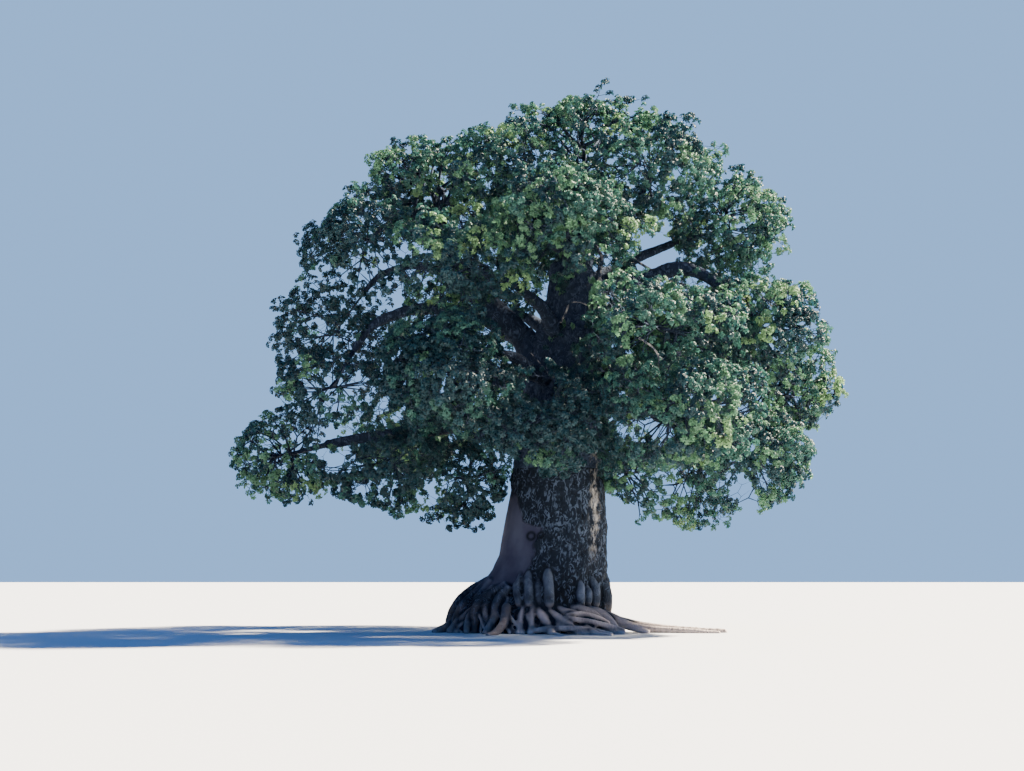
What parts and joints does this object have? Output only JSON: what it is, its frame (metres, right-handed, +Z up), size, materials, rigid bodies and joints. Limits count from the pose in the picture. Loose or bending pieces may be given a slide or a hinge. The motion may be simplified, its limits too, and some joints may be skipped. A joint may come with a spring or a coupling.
{
  "type": "baobab tree",
  "caption": "Full-grown baobab in leaf: a fat trunk on a flared foot with surface roots, tapering boughs and a broad rounded crown.",
  "frame": {"origin": "on the ground in the middle of the tree's foot, on the flat cut under the trunk", "axes": "+Z up, -Y towards the tree's front, the side that the picture shows, +X to the right seen from there"},
  "size_m": [21.6793, 18.863, 18.6424],
  "materials": {
    "trunk_bark": "rough knobbly bark, smooth in patches",
    "bough_bark": "rough bark",
    "root_bark": "weathered bark, worn pale on top",
    "leaves": "semi-matt leaves in open sprays"
  },
  "bodies": {
    "root": {"trunk": "trunk_bark", "root_left": "root_bark", "root_front_left": "root_bark", "root_front_right": "root_bark", "root_right": "root_bark", "bough_top": "bough_bark", "bough_top_left": "bough_bark", "bough_top_right": "bough_bark", "bough_crown_left": "bough_bark", "bough_left_high": "bough_bark", "bough_left_mid": "bough_bark", "bough_left_drop": "bough_bark", "bough_left_low": "bough_bark", "bough_left_skirt": "bough_bark", "bough_foot_left": "bough_bark", "bough_right_high": "bough_bark", "bough_right_mid": "bough_bark", "bough_right_wide": "bough_bark", "bough_right_low": "bough_bark", "bough_right_skirt": "bough_bark", "bough_front_top": "bough_bark", "bough_front_left_high": "bough_bark", "bough_front_left": "bough_bark", "bough_front_centre": "bough_bark", "bough_front_right_high": "bough_bark", "bough_front_right": "bough_bark", "bough_back_top": "bough_bark", "bough_back_left_high": "bough_bark", "bough_back_right_high": "bough_bark", "bough_back_left": "bough_bark", "bough_back_centre": "bough_bark", "bough_back_right": "bough_bark", "leaves_top": "leaves", "leaves_top_left": "leaves", "leaves_top_right": "leaves", "leaves_crown_left": "leaves", "leaves_left_high": "leaves", "leaves_left_mid": "leaves", "leaves_left_drop": "leaves", "leaves_left_low": "leaves", "leaves_left_skirt": "leaves", "leaves_foot_left": "leaves", "leaves_right_high": "leaves", "leaves_right_mid": "leaves", "leaves_right_wide": "leaves", "leaves_right_low": "leaves", "leaves_right_skirt": "leaves", "leaves_foot_right": "leaves", "leaves_front_top": "leaves", "leaves_front_left_high": "leaves", "leaves_front_left": "leaves", "leaves_front_centre": "leaves", "leaves_front_right_high": "leaves", "leaves_front_right": "leaves", "leaves_back_top": "leaves", "leaves_back_left_high": "leaves", "leaves_back_right_high": "leaves", "leaves_back_left": "leaves", "leaves_back_centre": "leaves", "leaves_back_right": "leaves"}
  },
  "joints": []
}
